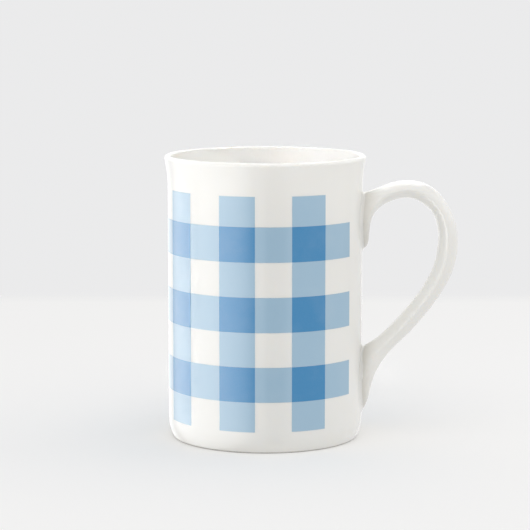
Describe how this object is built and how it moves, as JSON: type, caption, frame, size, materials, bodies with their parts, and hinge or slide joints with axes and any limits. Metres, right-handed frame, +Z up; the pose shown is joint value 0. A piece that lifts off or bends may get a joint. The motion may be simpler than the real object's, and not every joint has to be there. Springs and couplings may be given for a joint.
{
  "type": "mug",
  "caption": "Tall straight white mug with an out-turned lip, a foot ring, a looped strap handle and a blue check print.",
  "frame": {"origin": "centre of the foot ring, on the plane that the mug stands on", "axes": "+Z up along the cup's axis, +X from the cup's axis to the handle, +Y across the handle"},
  "size_m": [0.1115, 0.0764, 0.108],
  "materials": {
    "glazed_china": "white bone china under a clear gloss glaze, bare and matte on the foot ring",
    "handle_china": "white bone china under a clear gloss glaze",
    "slip": "fired bone china slip under the same clear gloss glaze",
    "light_blue_ink": "pale blue ceramic ink fired into the glaze, gloss",
    "deep_blue_ink": "deep blue ceramic ink fired into the glaze, gloss"
  },
  "bodies": {
    "root": {"cup": "glazed_china", "handle": "handle_china", "upper_slip_joint": "slip", "lower_slip_joint": "slip", "print_light_blue": "light_blue_ink", "print_deep_blue": "deep_blue_ink"}
  },
  "joints": []
}
